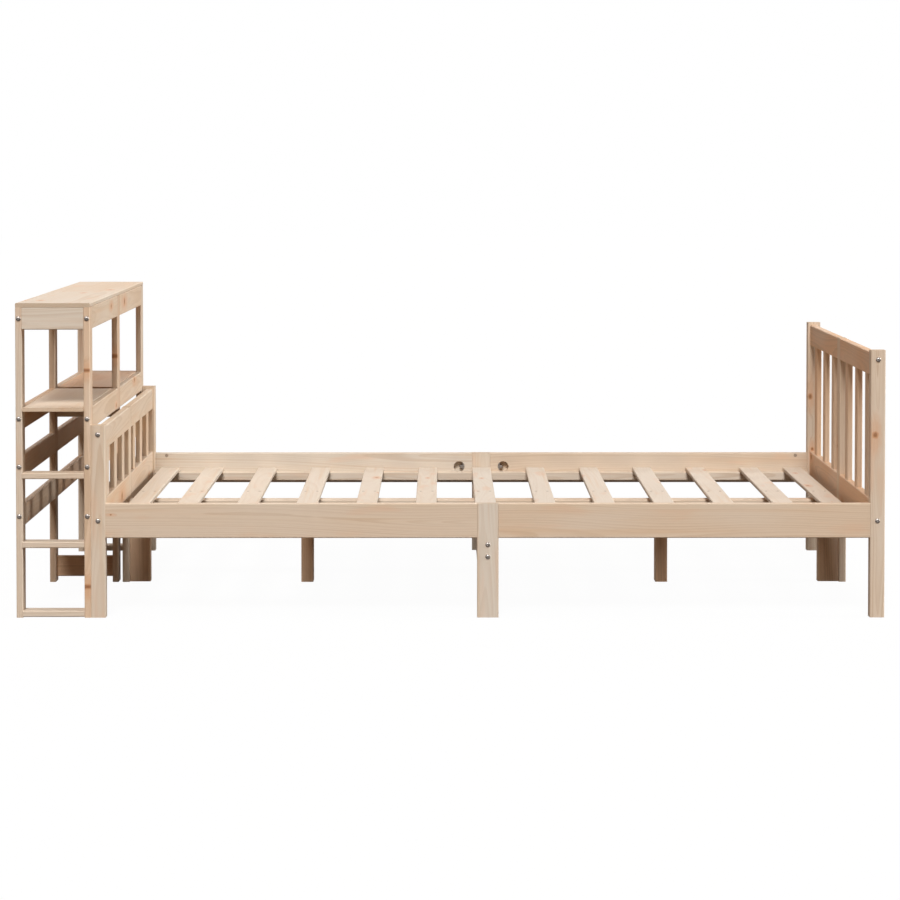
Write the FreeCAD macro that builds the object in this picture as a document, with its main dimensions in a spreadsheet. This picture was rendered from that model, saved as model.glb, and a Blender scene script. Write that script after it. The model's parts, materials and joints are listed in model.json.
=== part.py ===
import FreeCAD, Part
import os
import re

# A double bed in pine: a slatted base between a tall and a low spindle panel, with a
# three-frame bookcase standing against the low panel. Millimetres. X runs along the bed
# towards the tall panel, Y from the near side to the far side, Z up. The origin is on the
# floor under the middle of bed and bookcase together.

doc = FreeCAD.newDocument("SlattedBed")
sizes = doc.addObject("Spreadsheet::Sheet", "Sizes")

DRIVING_SIZES = [
    # Mattress well
    ("mattress_length", 2000),
    ("length_play", 4),
    ("mattress_width", 1400),
    ("width_play", 3),
    # Stock common to all boards
    ("arris", 2),
    # End panels
    ("post_size", 38),
    ("low_post_height", 502),
    ("tall_post_height", 697),
    ("panel_thickness", 20),
    ("panel_setback", 7),
    ("panel_drop", 8),
    ("top_rail_height", 61),
    ("bottom_rail_height", 95),
    ("bottom_rail_top", 304),
    ("stile_width", 58),
    ("spindle_width", 53),
    ("spindle_thickness", 14),
    ("spindle_end_gap", 100),
    ("tenon_length", 12),
    ("tenon_clearance", 0.2),
    # Side rails and mid legs
    ("rail_thickness", 25),
    ("rail_setback", 1),
    ("rail_height", 90),
    ("rail_bottom", 208),
    ("rail_joint_level", 256),
    ("mid_leg_width", 56),
    # Slats and what carries them
    ("slat_level", 242),
    ("slat_width", 57),
    ("slat_thickness", 12),
    ("slat_end_gap", 24.5),
    ("slat_end_step", 134),
    ("slat_tip_play", 3),
    ("packer_width", 40),
    ("packer_length", 48),
    ("packer_height", 10),
    ("ledger_width", 34),
    ("ledger_height", 25),
    ("beam_width", 58),
    ("beam_height", 28),
    ("cross_beam_width", 56),
    ("cross_beam_height", 58),
    ("end_leg_width", 58),
    ("end_leg_thickness", 34),
    ("centre_leg_width", 34),
    ("centre_leg_depth", 58),
    ("centre_leg_offset", 500),
    # Bookcase
    ("bookcase_depth", 194),
    ("bookcase_height", 820),
    ("case_post_width", 17),
    ("case_post_depth", 58),
    ("case_rail_height", 58),
    ("case_top_thickness", 11),
    ("shelf_level", 548),
    ("shelf_thickness", 10),
    ("upper_back_rail_level", 394),
    ("lower_back_rail_level", 265),
    ("rung_thickness", 16),
    ("rung_pitch", 180),
    ("rung_floor_gap", 2),
    ("mid_rail_level", 495),
    ("mid_board_level", 43),
    # Fasteners
    ("bolt_diameter", 6),
    ("bolt_head_diameter", 13),
    ("bolt_head_height", 4.5),
    ("bolt_dome", 2.6),
    ("bolt_reach", 40),
    ("bore_clearance", 0.2),
    ("panel_bolt_drop", 24),
    ("panel_bolt_low_level", 253),
    ("rail_bolt_spread", 34),
    ("counterbore_depth", 6),
    ("barrel_diameter", 10),
    ("barrel_length", 18),
    ("cross_bolt_spread", 16),
    ("pocket_diameter", 33),
    ("pocket_depth", 21),
    ("pocket_distance", 39),
    ("rod_diameter", 8),
    ("rod_stop", 1),
    ("washer_face", 10),
    ("washer_width", 14),
    ("nut_diameter", 15),
    ("nut_height", 6.5),
]
SLAT_COUNT = 13
SPINDLES_PER_HALF = 3
RUNG_COUNT = 3
NUT_SIDES = 6
FASTENER_SIDES = 12
POCKET_SIDES = 24

for row, (alias, value) in enumerate(DRIVING_SIZES, 1):
    sizes.set(f"A{row}", alias)
    sizes.set(f"B{row}", str(value))
    sizes.setAlias(f"B{row}", alias)
doc.recompute()

# Lengths worked out from the driving sizes, as texts that name them
WELL_LENGTH = "(mattress_length + length_play)"
WELL_WIDTH = "(mattress_width + width_play)"
BED_WIDTH = f"({WELL_WIDTH} + 2 * rail_thickness + 2 * rail_setback)"
PANEL_FACE = "(post_size - panel_setback)"
BED_LENGTH = f"({WELL_LENGTH} + 2 * {PANEL_FACE})"
TOTAL_LENGTH = f"({BED_LENGTH} + bookcase_depth)"
TALL_END = f"({TOTAL_LENGTH} / 2)"
LOW_END = f"({TALL_END} - {BED_LENGTH})"
CASE_BACK = f"(-{TOTAL_LENGTH} / 2)"
BED_MIDDLE = f"({TALL_END} - {BED_LENGTH} / 2)"
HALF_WIDTH = f"({BED_WIDTH} / 2)"
HALF_PANEL = f"({HALF_WIDTH} - post_size - stile_width / 2)"
SPINDLE_PITCH = f"(({HALF_PANEL} - 2 * spindle_end_gap - spindle_width) / {SPINDLES_PER_HALF - 1})"
SLAT_SPAN = f"({WELL_LENGTH} - 2 * slat_end_gap - slat_width)"
SLAT_PITCH = f"(({SLAT_SPAN} - 2 * slat_end_step) / {SLAT_COUNT - 3})"
SLAT_LENGTH = f"({WELL_WIDTH} - 2 * slat_tip_play)"
RAIL_LENGTH = f"({BED_LENGTH} / 2 - post_size - mid_leg_width / 2)"
RAIL_AXIS = "(rail_setback + rail_thickness / 2)"
BEAM_BOTTOM = "(slat_level - packer_height - beam_height)"
CROSS_BEAM_MIDDLE = f"({BEAM_BOTTOM} - cross_beam_height / 2)"
CASE_TOP = "(bookcase_height - case_top_thickness)"
CASE_INSIDE = "(bookcase_depth - 2 * case_post_width)"
CASE_RAIL_LENGTH = f"({HALF_WIDTH} - 1.5 * case_post_depth)"
CASE_RAIL_LEVELS = [
    f"({CASE_TOP} - case_rail_height / 2)",
    "(shelf_level - case_rail_height / 2)",
    "upper_back_rail_level",
    "lower_back_rail_level",
]
BORE = "(bolt_diameter + 2 * bore_clearance)"
HEAD_BORE = "(bolt_head_diameter + 4 * bore_clearance)"
ROD_BORE = "(rod_diameter + 2 * bore_clearance)"
ORIGIN = ("0", "0", "0")
LEVEL_TOLERANCE = 0.001

TURN_TO = {
    "+X": FreeCAD.Rotation(FreeCAD.Vector(0, 1, 0), 90),
    "-X": FreeCAD.Rotation(FreeCAD.Vector(0, 1, 0), -90),
    "+Y": FreeCAD.Rotation(FreeCAD.Vector(1, 0, 0), -90),
    "-Y": FreeCAD.Rotation(FreeCAD.Vector(1, 0, 0), 90),
}
INWARD = {"near": "+Y", "far": "-Y", "low": "+X", "tall": "-X"}
OUTWARD = {"near": "-Y", "far": "+Y", "low": "-X", "tall": "+X"}

corners = {}
nodes = []


def bound(text):
    """Point every size name in an expression at its cell in the sheet."""
    names = "|".join(alias for alias, value in DRIVING_SIZES)
    return re.sub(rf"\b({names})\b", r"Sizes.\1", text)


def place(thing, corner):
    """Bind the three coordinates of an object's own placement."""
    for axis, text in zip("xyz", corner):
        thing.setExpression(f".Placement.Base.{axis}", bound(text))


def across(side, offset, depth):
    """Lowest Y of a piece that starts at an offset from the near or far face of the bed."""
    if side == "near":
        return f"(-{HALF_WIDTH} + {offset})"
    return f"({HALF_WIDTH} - {offset} - {depth})"


def along(end, offset, depth):
    """Lowest X of a piece that starts at an offset from the low or tall end of the bed."""
    if end == "low":
        return f"({LOW_END} + {offset})"
    return f"({TALL_END} - {offset} - {depth})"


def face_y(side, offset):
    """Y of a plane at an offset inside the near or far face of the bed."""
    return across(side, offset, "0")


def face_x(end, offset):
    """X of a plane at an offset inside the low or tall end of the bed."""
    return along(end, offset, "0")


def board(label, grain, corner, size):
    """A sawn board with its four long edges eased."""
    body = doc.addObject("PartDesign::Body", label)
    body.Label = label
    place(body, corner)
    corners[body.Name] = corner
    stock = body.newObject("PartDesign::AdditiveBox", label + "_stock")
    for side, text in zip(("Length", "Width", "Height"), size):
        stock.setExpression(side, bound(text))
    doc.recompute()
    long_edges = []
    for number, edge in enumerate(stock.Shape.Edges, 1):
        direction = edge.tangentAt(edge.FirstParameter)
        if abs(getattr(direction, grain)) > 0.99:
            long_edges.append(f"Edge{number}")
    arrises = body.newObject("PartDesign::Chamfer", label + "_arrises")
    arrises.Base = (stock, long_edges)
    arrises.setExpression("Size", bound("arris"))
    return body


def local(body, point):
    """A point of the bed's frame, seen from the corner that a board is placed by."""
    return [f"({text}) - ({start})" for text, start in zip(point, corners[body.Name])]


def shape_prism(prism, sides, direction, start, diameter, length):
    """Size and place a straight prism that runs from a start point along a direction."""
    prism.Polygon = sides
    prism.setExpression("Circumradius", bound(f"{diameter} / 2"))
    prism.setExpression("Height", bound(length))
    prism.Placement = FreeCAD.Placement(FreeCAD.Vector(), TURN_TO[direction])
    place(prism, start)
    return prism


def bore(body, direction, mouth, diameter, depth, sides=FASTENER_SIDES):
    """A hole from its mouth along a direction, with as many sides as the fastener in it."""
    hole = body.newObject("PartDesign::SubtractivePrism", body.Name + "_bore")
    shape_prism(hole, sides, direction, local(body, mouth), diameter, depth)


def mortise(body, corner, size):
    """A square-cut slot for a tenon, placed in the bed's frame."""
    slot = body.newObject("PartDesign::SubtractiveBox", body.Name + "_mortise")
    for side, text in zip(("Length", "Width", "Height"), size):
        slot.setExpression(side, bound(text))
    place(slot, local(body, corner))


def block(name, corner, size):
    """A plain box with sharp edges."""
    box = doc.addObject("Part::Box", name)
    for side, text in zip(("Length", "Width", "Height"), size):
        box.setExpression(side, bound(text))
    place(box, corner)
    return box


def bar(name, direction, start, diameter, length, sides=FASTENER_SIDES):
    """A straight bar of fastener stock from a start point along a direction."""
    return shape_prism(doc.addObject("Part::Prism", name), sides, direction, start, diameter, length)


def bolt(name, inward, outward, seat, shank):
    """A dome-headed bolt: the head sits outside the seat and the shank runs inward from it."""
    body = doc.addObject("PartDesign::Body", name)
    head = body.newObject("PartDesign::AdditivePrism", name + "_head")
    shape_prism(head, FASTENER_SIDES, outward, ORIGIN, "bolt_head_diameter", "bolt_head_height")
    doc.recompute()
    crown = TURN_TO[outward].multVec(FreeCAD.Vector(0, 0, head.Height.Value))
    crown_edges = []
    for number, edge in enumerate(head.Shape.Edges, 1):
        if abs((edge.CenterOfMass - crown).dot(crown)) < LEVEL_TOLERANCE:
            crown_edges.append(f"Edge{number}")
    dome = body.newObject("PartDesign::Chamfer", name + "_dome")
    dome.Base = (head, crown_edges)
    dome.setExpression("Size", bound("bolt_dome"))
    stem = body.newObject("PartDesign::AdditivePrism", name + "_shank")
    shape_prism(stem, FASTENER_SIDES, inward, ORIGIN, "bolt_diameter", shank)
    place(body, seat)
    return body


def nut_on(name, blank, direction, start, thread, length):
    """A nut cut from a blank by the hole for its bolt or rod."""
    whole = doc.addObject("Part::Cut", name)
    whole.Base = blank
    whole.Tool = bar(name + "_thread", direction, start, thread, length)
    return whole


def saddle_washer(name, end, side, flat_x, pocket_mouth):
    """A half-moon washer: round against the pocket's wall, flat against the nut."""
    pocket_x, mouth_y, level = pocket_mouth
    back_y = f"({mouth_y} {OUTWARD[side][0]} (rail_thickness + washer_width) / 2)"
    disc = bar(
        name + "_disc",
        INWARD[side],
        (pocket_x, back_y, level),
        "(pocket_diameter - 2 * bore_clearance)",
        "washer_width",
        POCKET_SIDES,
    )
    limit_x = flat_x if end == "low" else f"({flat_x} - pocket_diameter)"
    limit_y = back_y if side == "near" else f"({back_y} - washer_width)"
    moon = doc.addObject("Part::Common", name + "_moon")
    moon.Base = disc
    moon.Tool = block(
        name + "_limit",
        (limit_x, limit_y, f"{level} - pocket_diameter / 2"),
        ("pocket_diameter", "washer_width", "pocket_diameter"),
    )
    eye = (flat_x, face_y(side, RAIL_AXIS), level)
    return nut_on(name, moon, INWARD[end], eye, ROD_BORE, "pocket_diameter")


def node(label, pieces):
    """Keep one piece, or a group of separate pieces, as a named node."""
    if len(pieces) == 1:
        keep = pieces[0]
    else:
        keep = doc.addObject("Part::Compound", label)
        keep.Links = pieces
    keep.Label = label
    nodes.append(keep)


# End panels: posts, centre stile, half rails and spindles
panel_bolts = []
rail_bolts = []
for end in ("low", "tall"):
    post_height = f"{end}_post_height"
    panel_top = f"({post_height} - panel_drop)"
    top_rail_bottom = f"({panel_top} - top_rail_height)"
    bottom_rail_bottom = "(bottom_rail_top - bottom_rail_height)"
    panel_x = along(end, f"({PANEL_FACE} - panel_thickness)", "panel_thickness")
    spindle_inset = f"({PANEL_FACE} - (panel_thickness + spindle_thickness) / 2)"
    spindle_x = along(end, spindle_inset, "spindle_thickness")
    bolt_levels = [f"({post_height} - panel_bolt_drop)", "panel_bolt_low_level"]
    bolt_x = face_x(end, "post_size / 2")
    spindles = []
    for side in ("near", "far"):
        post = board(
            f"{end}_post_{side}",
            "z",
            (along(end, "0", "post_size"), across(side, "0", "post_size"), "0"),
            ("post_size", "post_size", post_height),
        )
        rail_y = across(side, "post_size", HALF_PANEL)
        top_rail = board(
            f"{end}_top_rail_{side}",
            "y",
            (panel_x, rail_y, top_rail_bottom),
            ("panel_thickness", HALF_PANEL, "top_rail_height"),
        )
        bottom_rail = board(
            f"{end}_bottom_rail_{side}",
            "y",
            (panel_x, rail_y, bottom_rail_bottom),
            ("panel_thickness", HALF_PANEL, "bottom_rail_height"),
        )
        for number in range(SPINDLES_PER_HALF):
            offset = f"(post_size + spindle_end_gap + {number} * {SPINDLE_PITCH})"
            spindle_y = across(side, offset, "spindle_width")
            spindles.append(board(
                f"{end}_spindle_{side}_{number + 1}",
                "z",
                (spindle_x, spindle_y, "(bottom_rail_top - tenon_length)"),
                (
                    "spindle_thickness",
                    "spindle_width",
                    f"{top_rail_bottom} - bottom_rail_top + 2 * tenon_length",
                ),
            ))
            slot_x = f"({spindle_x} - tenon_clearance)"
            slot_y = f"({spindle_y} - tenon_clearance)"
            slot = (
                "spindle_thickness + 2 * tenon_clearance",
                "spindle_width + 2 * tenon_clearance",
                "tenon_length",
            )
            mortise(top_rail, (slot_x, slot_y, top_rail_bottom), slot)
            mortise(bottom_rail, (slot_x, slot_y, "(bottom_rail_top - tenon_length)"), slot)
        for level, rail in zip(bolt_levels, (top_rail, bottom_rail)):
            seat = (bolt_x, face_y(side, "0"), level)
            bore(post, INWARD[side], seat, BORE, "post_size")
            bore(rail, INWARD[side], (bolt_x, face_y(side, "post_size"), level), BORE, "bolt_reach")
            panel_bolts.append(bolt(
                f"panel_bolt_{len(panel_bolts) + 1}",
                INWARD[side],
                OUTWARD[side],
                seat,
                "post_size + bolt_reach",
            ))
        for sign in ("+", "-"):
            level = f"(rail_joint_level {sign} rail_bolt_spread)"
            bolt_y = face_y(side, RAIL_AXIS)
            mouth = (face_x(end, "0"), bolt_y, level)
            seat = (face_x(end, "counterbore_depth"), bolt_y, level)
            bore(post, INWARD[end], mouth, HEAD_BORE, "counterbore_depth")
            bore(post, INWARD[end], mouth, BORE, "post_size")
            rail_bolts.append(bolt(
                f"side_rail_bolt_{len(rail_bolts) + 1}",
                INWARD[end],
                OUTWARD[end],
                seat,
                "post_size - counterbore_depth + bolt_reach",
            ))
        node(post.Label, [post])
        node(top_rail.Label, [top_rail])
        node(bottom_rail.Label, [bottom_rail])
    stile = board(
        f"{end}_centre_stile",
        "z",
        (panel_x, "-stile_width / 2", "0"),
        ("panel_thickness", "stile_width", panel_top),
    )
    node(stile.Label, [stile])
    node(f"{end}_panel_spindles", spindles)
node("panel_bolts", panel_bolts)
node("side_rail_bolts", rail_bolts)

# Side rails in two halves, joined through a mid leg on each side
barrels = []
rods = []
washers = []
nuts = []
cross_bolts = []
cross_beam = board(
    "cross_beam",
    "y",
    (f"{BED_MIDDLE} - cross_beam_width / 2", f"-{WELL_WIDTH} / 2", f"{BEAM_BOTTOM} - cross_beam_height"),
    ("cross_beam_width", WELL_WIDTH, "cross_beam_height"),
)
for side in ("near", "far"):
    leg = board(
        f"mid_leg_{side}",
        "z",
        (f"{BED_MIDDLE} - mid_leg_width / 2", across(side, "rail_setback", "rail_thickness"), "0"),
        ("mid_leg_width", "rail_thickness", "rail_bottom + rail_height"),
    )
    rail_y = across(side, "rail_setback", "rail_thickness")
    inner_y = face_y(side, "(rail_setback + rail_thickness)")
    axis_y = face_y(side, RAIL_AXIS)
    ledgers = []
    for end in ("low", "tall"):
        rail = board(
            f"side_rail_{side}_{end}",
            "x",
            (along(end, "post_size", RAIL_LENGTH), rail_y, "rail_bottom"),
            (RAIL_LENGTH, "rail_thickness", "rail_height"),
        )
        for sign in ("+", "-"):
            level = f"(rail_joint_level {sign} rail_bolt_spread)"
            barrel_inset = "(post_size + bolt_reach - barrel_diameter / 2)"
            barrel_seat = (face_x(end, barrel_inset), inner_y, level)
            bore(rail, INWARD[end], (face_x(end, "post_size"), axis_y, level), BORE, "bolt_reach")
            bore(rail, OUTWARD[side], barrel_seat, "(barrel_diameter + 2 * bore_clearance)", "barrel_length")
            barrel_name = f"side_rail_barrel_{len(barrels) + 1}"
            barrel = bar(barrel_name + "_blank", OUTWARD[side], barrel_seat, "barrel_diameter", "barrel_length")
            rail_end = (face_x(end, "post_size"), axis_y, level)
            barrels.append(nut_on(barrel_name, barrel, INWARD[end], rail_end, BORE, "2 * bolt_reach"))
        pocket_x = face_x(end, f"(post_size + {RAIL_LENGTH} - pocket_distance)")
        pocket_mouth = (pocket_x, inner_y, "rail_joint_level")
        bore(rail, OUTWARD[side], pocket_mouth, "pocket_diameter", "pocket_depth", POCKET_SIDES)
        bore(rail, INWARD[end], (pocket_x, axis_y, "rail_joint_level"), ROD_BORE, "pocket_distance")
        washer_x = face_x(end, f"(post_size + {RAIL_LENGTH} - pocket_distance + washer_face)")
        washers.append(saddle_washer(f"saddle_washer_{side}_{end}", end, side, washer_x, pocket_mouth))
        nut_x = face_x(end, f"(post_size + {RAIL_LENGTH} - pocket_distance + washer_face - nut_height)")
        nut_start = (nut_x, axis_y, "rail_joint_level")
        nut_name = f"mid_leg_nut_{side}_{end}"
        blank = bar(nut_name + "_blank", INWARD[end], nut_start, "nut_diameter", "nut_height", NUT_SIDES)
        nuts.append(nut_on(nut_name, blank, INWARD[end], nut_start, ROD_BORE, "nut_height"))
        ledger_length = f"({BED_LENGTH} / 2 - post_size)"
        ledgers.append(board(
            f"ledger_{side}_{end}",
            "x",
            (
                along(end, "post_size", ledger_length),
                across(side, "(rail_setback + rail_thickness)", "ledger_width"),
                "slat_level - ledger_height",
            ),
            (ledger_length, "ledger_width", "ledger_height"),
        ))
        node(rail.Label, [rail])
    rod_length = "(mid_leg_width + 2 * pocket_distance - 2 * rod_stop)"
    bore(leg, "+X", (f"{BED_MIDDLE} - mid_leg_width / 2", axis_y, "rail_joint_level"), ROD_BORE, "mid_leg_width")
    rods.append(bar(
        f"mid_leg_rod_{side}",
        "+X",
        (f"{BED_MIDDLE} - {rod_length} / 2", axis_y, "rail_joint_level"),
        "rod_diameter",
        rod_length,
    ))
    for sign in ("+", "-"):
        level = f"({CROSS_BEAM_MIDDLE} {sign} cross_bolt_spread)"
        seat = (BED_MIDDLE, face_y(side, "rail_setback"), level)
        bore(leg, INWARD[side], seat, BORE, "rail_thickness")
        bore(cross_beam, INWARD[side], (BED_MIDDLE, inner_y, level), BORE, "bolt_reach")
        cross_bolts.append(bolt(
            f"cross_beam_bolt_{len(cross_bolts) + 1}",
            INWARD[side],
            OUTWARD[side],
            seat,
            "rail_thickness + bolt_reach",
        ))
    node(leg.Label, [leg])
    node(f"slat_ledgers_{side}", ledgers)
node("cross_beam", [cross_beam])
node("side_rail_barrel_nuts", barrels)
node("mid_leg_rods", rods)
node("mid_leg_washers", washers)
node("mid_leg_nuts", nuts)
node("cross_beam_bolts", cross_bolts)

# Centre beam in two halves, with its end legs and centre legs
end_legs = []
centre_legs = []
for end in ("low", "tall"):
    beam_length = f"({WELL_LENGTH} / 2)"
    beam = board(
        f"centre_beam_{end}",
        "x",
        (along(end, PANEL_FACE, beam_length), "-beam_width / 2", BEAM_BOTTOM),
        (beam_length, "beam_width", "beam_height"),
    )
    node(beam.Label, [beam])
    end_legs.append(board(
        f"end_leg_{end}",
        "z",
        (along(end, PANEL_FACE, "end_leg_width"), "-end_leg_thickness / 2", "0"),
        ("end_leg_width", "end_leg_thickness", BEAM_BOTTOM),
    ))
    sign = {"low": "-", "tall": "+"}[end]
    centre_legs.append(board(
        f"centre_leg_{end}",
        "z",
        (f"{BED_MIDDLE} {sign} centre_leg_offset - centre_leg_width / 2", "-centre_leg_depth / 2", "0"),
        ("centre_leg_width", "centre_leg_depth", BEAM_BOTTOM),
    ))
node("beam_end_legs", end_legs)
node("centre_legs", centre_legs)

# Bed slats, the end ones set closer, each on a packing piece that stands on the centre beam
slats = []
packers = []
slat_steps = ["0"]
for number in range(SLAT_COUNT - 2):
    slat_steps.append(f"(slat_end_step + {number} * {SLAT_PITCH})")
slat_steps.append(SLAT_SPAN)
for number, step in enumerate(slat_steps, 1):
    slat_x = f"({LOW_END} + {PANEL_FACE} + slat_end_gap + {step})"
    slats.append(board(
        f"slat_{number}",
        "y",
        (slat_x, f"-{SLAT_LENGTH} / 2", "slat_level"),
        ("slat_width", SLAT_LENGTH, "slat_thickness"),
    ))
    packers.append(block(
        f"slat_packer_{number}",
        (
            f"{slat_x} + (slat_width - packer_width) / 2",
            "-packer_length / 2",
            "slat_level - packer_height",
        ),
        ("packer_width", "packer_length", "packer_height"),
    ))
node("slat_packers", packers)
half_count = SLAT_COUNT // 2
node("bed_slats_low_half", slats[:half_count])
node("bed_slat_middle", [slats[half_count]])
node("bed_slats_tall_half", slats[half_count + 1:])

# Bookcase: three frames, long rails between them, top boards and shelves
case_bolts = []
case_rails = {"outer": [], "bed": []}
frame_y = {
    "near": f"-{HALF_WIDTH}",
    "mid": "-case_post_depth / 2",
    "far": f"{HALF_WIDTH} - case_post_depth",
}
case_x = {
    "outer": CASE_BACK,
    "bed": f"({LOW_END} - case_post_width)",
}
inside_x = f"({CASE_BACK} + case_post_width)"
board_y = {
    "near": frame_y["near"],
    "mid": "-case_post_width / 2",
    "far": f"{HALF_WIDTH} - case_post_width",
}
case_posts = {}
for frame in ("near", "mid", "far"):
    for row in ("outer", "bed"):
        post = board(
            f"bookcase_post_{frame}_{row}",
            "z",
            (case_x[row], frame_y[frame], "0"),
            ("case_post_width", "case_post_depth", CASE_TOP),
        )
        case_posts[frame, row] = post
        node(post.Label, [post])
    apron = board(
        f"bookcase_apron_{frame}",
        "x",
        (inside_x, board_y[frame], f"{CASE_TOP} - case_rail_height"),
        (CASE_INSIDE, "case_post_width", "case_rail_height"),
    )
    node(apron.Label, [apron])
for side in ("near", "far"):
    rungs = []
    for number in range(RUNG_COUNT):
        rungs.append(board(
            f"rung_{side}_{number + 1}",
            "x",
            (inside_x, frame_y[side], f"rung_floor_gap + {number} * rung_pitch"),
            (CASE_INSIDE, "case_post_depth", "rung_thickness"),
        ))
    node(f"bookcase_rungs_{side}", rungs)
    top = board(
        f"bookcase_top_{side}",
        "y",
        (CASE_BACK, across(side, "0", HALF_WIDTH), CASE_TOP),
        ("bookcase_depth", HALF_WIDTH, "case_top_thickness"),
    )
    node(top.Label, [top])
    shelf_length = f"({HALF_WIDTH} - case_post_depth / 2)"
    shelf = board(
        f"bookcase_shelf_{side}",
        "y",
        (inside_x, across(side, "0", shelf_length), "shelf_level - shelf_thickness"),
        (CASE_INSIDE, shelf_length, "shelf_thickness"),
    )
    node(shelf.Label, [shelf])
    for row in ("outer", "bed"):
        axis_x = f"({case_x[row]} + case_post_width / 2)"
        for number, level in enumerate(CASE_RAIL_LEVELS, 1):
            rail = board(
                f"case_rail_{row}_{side}_{number}",
                "y",
                (
                    case_x[row],
                    across(side, "case_post_depth", CASE_RAIL_LENGTH),
                    f"{level} - case_rail_height / 2",
                ),
                ("case_post_width", CASE_RAIL_LENGTH, "case_rail_height"),
            )
            seat = (axis_x, face_y(side, "0"), level)
            bore(case_posts[side, row], INWARD[side], seat, BORE, "case_post_depth")
            bore(rail, INWARD[side], (axis_x, face_y(side, "case_post_depth"), level), BORE, "bolt_reach")
            case_bolts.append(bolt(
                f"bookcase_bolt_{len(case_bolts) + 1}",
                INWARD[side],
                OUTWARD[side],
                seat,
                "case_post_depth + bolt_reach",
            ))
            case_rails[row].append(rail)
mid_levels = {"shelf_rail": "mid_rail_level", "foot_board": "mid_board_level"}
for name, level in mid_levels.items():
    cross_piece = board(
        f"bookcase_mid_{name}",
        "x",
        (inside_x, board_y["mid"], f"{level} - case_rail_height / 2"),
        (CASE_INSIDE, "case_post_width", "case_rail_height"),
    )
    node(cross_piece.Label, [cross_piece])
node("bookcase_rails_outer", case_rails["outer"])
node("bookcase_rails_bed", case_rails["bed"])
node("bookcase_bolts", case_bolts)

doc.recompute()

# Refuse a failed document before anything is written
for thing in doc.Objects:
    if "Invalid" in thing.State or "Error" in thing.State:
        raise RuntimeError(f"{thing.Label} failed to recompute: {thing.State}")
for piece in nodes:
    if piece.Shape.isNull() or not piece.Shape.isValid():
        raise RuntimeError(f"{piece.Label} has no valid shape")

os.makedirs("parts", exist_ok=True)
for piece in nodes:
    piece.Shape.exportStep(f"parts/{piece.Label}.step")
print(len(nodes), "nodes,", sum(len(piece.Shape.Solids) for piece in nodes), "solids")
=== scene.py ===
import json
import math
import random
import bmesh
import bpy
from mathutils import Matrix, Vector


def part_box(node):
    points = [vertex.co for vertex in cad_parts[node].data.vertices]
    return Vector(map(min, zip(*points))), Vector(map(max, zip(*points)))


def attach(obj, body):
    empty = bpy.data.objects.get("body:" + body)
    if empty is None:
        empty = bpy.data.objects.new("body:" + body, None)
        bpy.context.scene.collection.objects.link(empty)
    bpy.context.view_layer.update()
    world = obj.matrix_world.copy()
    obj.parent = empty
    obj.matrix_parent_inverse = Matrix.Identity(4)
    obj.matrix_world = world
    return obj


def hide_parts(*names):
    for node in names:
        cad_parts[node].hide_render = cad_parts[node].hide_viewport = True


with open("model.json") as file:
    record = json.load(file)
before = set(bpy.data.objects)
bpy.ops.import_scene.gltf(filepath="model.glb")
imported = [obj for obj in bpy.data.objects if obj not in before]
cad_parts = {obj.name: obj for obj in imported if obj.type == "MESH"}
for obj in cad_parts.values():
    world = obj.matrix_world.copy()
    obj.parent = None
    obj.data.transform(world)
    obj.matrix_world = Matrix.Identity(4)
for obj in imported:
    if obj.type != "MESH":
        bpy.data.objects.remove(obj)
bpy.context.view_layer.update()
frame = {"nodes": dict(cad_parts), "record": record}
slotOfNode = {part["node"]: part["material_slot"] for part in frame["record"]["subparts"]}
print("frame loaded:", len(frame["nodes"]), "nodes")


class Wire:  # a socket that can be used in sums
    def __init__(self, nodes, socket):
        self.nodes = nodes
        self.socket = socket

    def maths(self, operation, *values):
        return self.nodes.add("ShaderNodeMath", {"operation": operation}, dict(enumerate(values)))

    def __add__(self, other):
        return self.maths("ADD", self, other)

    def __radd__(self, other):
        return self.maths("ADD", other, self)

    def __sub__(self, other):
        return self.maths("SUBTRACT", self, other)

    def __rsub__(self, other):
        return self.maths("SUBTRACT", other, self)

    def __mul__(self, other):
        return self.maths("MULTIPLY", self, other)

    def __rmul__(self, other):
        return self.maths("MULTIPLY", other, self)

    def __truediv__(self, other):
        return self.maths("DIVIDE", self, other)

    def __rtruediv__(self, other):
        return self.maths("DIVIDE", other, self)

    def __pow__(self, other):
        return self.maths("POWER", self, other)

    def __abs__(self):
        return self.maths("ABSOLUTE", self)

    def floor(self):
        return self.maths("FLOOR", self)

    def root(self):
        return self.maths("SQRT", self)

    def largest(self, other):
        return self.maths("MAXIMUM", self, other)

    def smallest(self, other):
        return self.maths("MINIMUM", self, other)

    def rise(self, low, high):  # 0 below low, 1 above high, smooth between; low may be the larger one
        return self.nodes.add("ShaderNodeMapRange", {"interpolation_type": "SMOOTHSTEP"},
                              {"Value": self, "From Min": low, "From Max": high})

    def outlet(self, name):  # another output of the same node
        return Wire(self.nodes, self.socket.node.outputs[name])


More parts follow.
